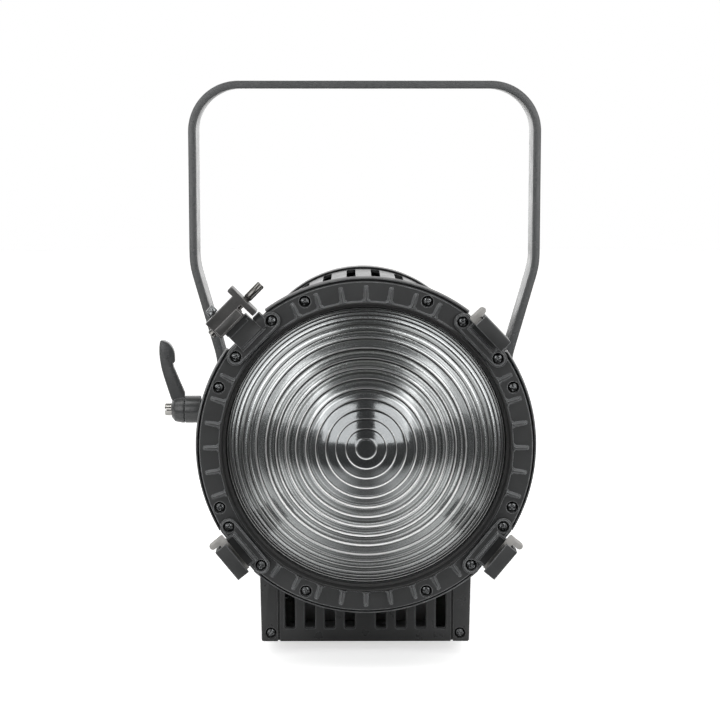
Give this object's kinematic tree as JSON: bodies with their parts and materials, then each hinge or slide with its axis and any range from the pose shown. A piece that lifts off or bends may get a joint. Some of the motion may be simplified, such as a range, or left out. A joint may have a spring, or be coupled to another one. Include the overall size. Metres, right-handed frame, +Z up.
{
  "type": "fresnel spotlight",
  "caption": "Round lens spotlight with a stepped glass lens, vented drum, box base, tilting yoke with lock lever, accessory brackets and a sprung gate.",
  "frame": {"origin": "on the base's underside, straight below the tilt pivots; the lens axis is 157.7 mm above it", "axes": "+Z up, towards the yoke's top bar; the beam leaves towards -Y; +X is the side away from the tilt lock lever"},
  "size_m": [0.2991, 0.4175, 0.4187],
  "materials": {
    "cast_black": "satin black powder coat on die-cast aluminium",
    "sheet_black": "finely textured black powder coat on sheet metal",
    "yoke_grey": "satin charcoal powder coat on a flat steel bar",
    "screw_black": "black oxide",
    "bright_steel": "bright zinc plate",
    "spring_steel": "bright spring steel",
    "aluminium": "mill finish",
    "lens_glass": "clear pressed glass with concentric steps",
    "rubber_black": "matt silicone",
    "plastic_black": "moulded black",
    "display_glass": "smoked clear acrylic",
    "board_green": "solder mask",
    "phosphor": "phosphor over a white board",
    "friction_fibre": "friction fibre"
  },
  "bodies": {
    "head": {"accessory_bracket_lower_left": "cast_black", "accessory_bracket_lower_right": "cast_black", "accessory_bracket_upper_right": "cast_black", "base_front_panel": "sheet_black", "base_screw_left": "screw_black", "base_screw_right": "screw_black", "base_shell": "sheet_black", "bezel_screw_1": "screw_black", "bezel_screw_2": "screw_black", "bezel_screw_3": "screw_black", "bezel_screw_4": "screw_black", "bezel_screw_5": "screw_black", "bezel_screw_6": "screw_black", "bezel_screw_7": "screw_black", "bezel_screw_8": "screw_black", "bracket_screw_1": "screw_black", "bracket_screw_2": "screw_black", "bracket_screw_3": "screw_black", "bracket_screw_4": "screw_black", "bracket_screw_5": "screw_black", "bracket_screw_6": "screw_black", "bracket_screw_7": "screw_black", "bracket_screw_8": "screw_black", "control_board": "board_green", "control_panel": "sheet_black", "data_inlet": "plastic_black", "display_window": "display_glass", "drum_housing": "sheet_black", "fan_frame": "plastic_black", "fresnel_lens": "lens_glass", "front_casting": "cast_black", "gate_bracket": "cast_black", "gate_hinge_pin": "bright_steel", "gate_spring": "spring_steel", "guide_rod_left": "bright_steel", "guide_rod_right": "bright_steel", "leaf_spring_lower_left": "spring_steel", "leaf_spring_lower_right": "spring_steel", "leaf_spring_upper_right": "spring_steel", "lens_bezel": "cast_black", "lens_gasket": "rubber_black", "power_inlet": "plastic_black", "power_supply": "aluminium", "rear_cover": "sheet_black", "tilt_bolt": "screw_black"},
    "yoke": {"yoke": "yoke_grey", "friction_disc_left": "friction_fibre", "friction_disc_right": "friction_fibre"},
    "lock_stud": {"lock_stud": "bright_steel", "lock_sleeve": "cast_black"},
    "lock_lever": {"lock_lever": "cast_black"},
    "gate": {"latch_gate": "cast_black"},
    "plunger": {"gate_plunger": "screw_black"},
    "carriage": {"carriage_heatsink": "aluminium", "led_module": "phosphor", "reflector": "aluminium"},
    "focus": {"focus_knob": "plastic_black"},
    "fan": {"fan_rotor": "plastic_black"},
    "dimmer": {"dimmer_knob": "plastic_black"},
    "rocker": {"power_switch": "plastic_black"}
  },
  "joints": [
    {"name": "yoke_tilt", "type": "hinge", "parent": "head", "child": "yoke", "pos_m": [0, 0, 0.1597], "axis": [1, 0, 0], "range_deg": [-120, 120]},
    {"name": "lock_turn", "type": "hinge", "parent": "head", "child": "lock_stud", "pos_m": [-0.14, 0, 0.1597], "axis": [1, 0, 0], "range_deg": [-90, 90]},
    {"name": "lever_pull", "type": "slide", "parent": "lock_stud", "child": "lock_lever", "axis": [-1, 0, 0], "range_m": [0, 0.004], "stiffness_N_per_m": 800},
    {"name": "gate_swing", "type": "hinge", "parent": "head", "child": "gate", "pos_m": [-0.09631, -0.177, 0.25301], "axis": [-0.7034, 0, -0.7108], "range_deg": [0, 80], "stiffness_Nm_per_rad": 0.2},
    {"name": "plunger_pull", "type": "slide", "parent": "gate", "child": "plunger", "axis": [-0.7108, 0, 0.7034], "range_m": [0, 0.003], "stiffness_N_per_m": 800},
    {"name": "carriage_focus", "type": "slide", "parent": "head", "child": "carriage", "axis": [0, -1, 0], "range_m": [0, 0.06]},
    {"name": "focus_turn", "type": "hinge", "parent": "head", "child": "focus", "pos_m": [0, 0.21, 0.0717], "axis": [0, 1, 0], "range_deg": [0, 1080]},
    {"name": "fan_spin", "type": "hinge", "parent": "head", "child": "fan", "pos_m": [0, 0.1615, 0.1577], "axis": [0, 1, 0], "continuous": true},
    {"name": "dimmer_turn", "type": "hinge", "parent": "head", "child": "dimmer", "pos_m": [0.058, 0.18, 0.0357], "axis": [0, 1, 0], "range_deg": [0, 300]},
    {"name": "switch_rock", "type": "hinge", "parent": "head", "child": "rocker", "pos_m": [-0.06, 0.172, 0.0597], "axis": [-1, 0, 0], "range_deg": [0, 14]}
  ],
  "couplings": [
    {"joint": "focus_turn", "follows": "carriage_focus", "rad_per_m": 314.15}
  ]
}
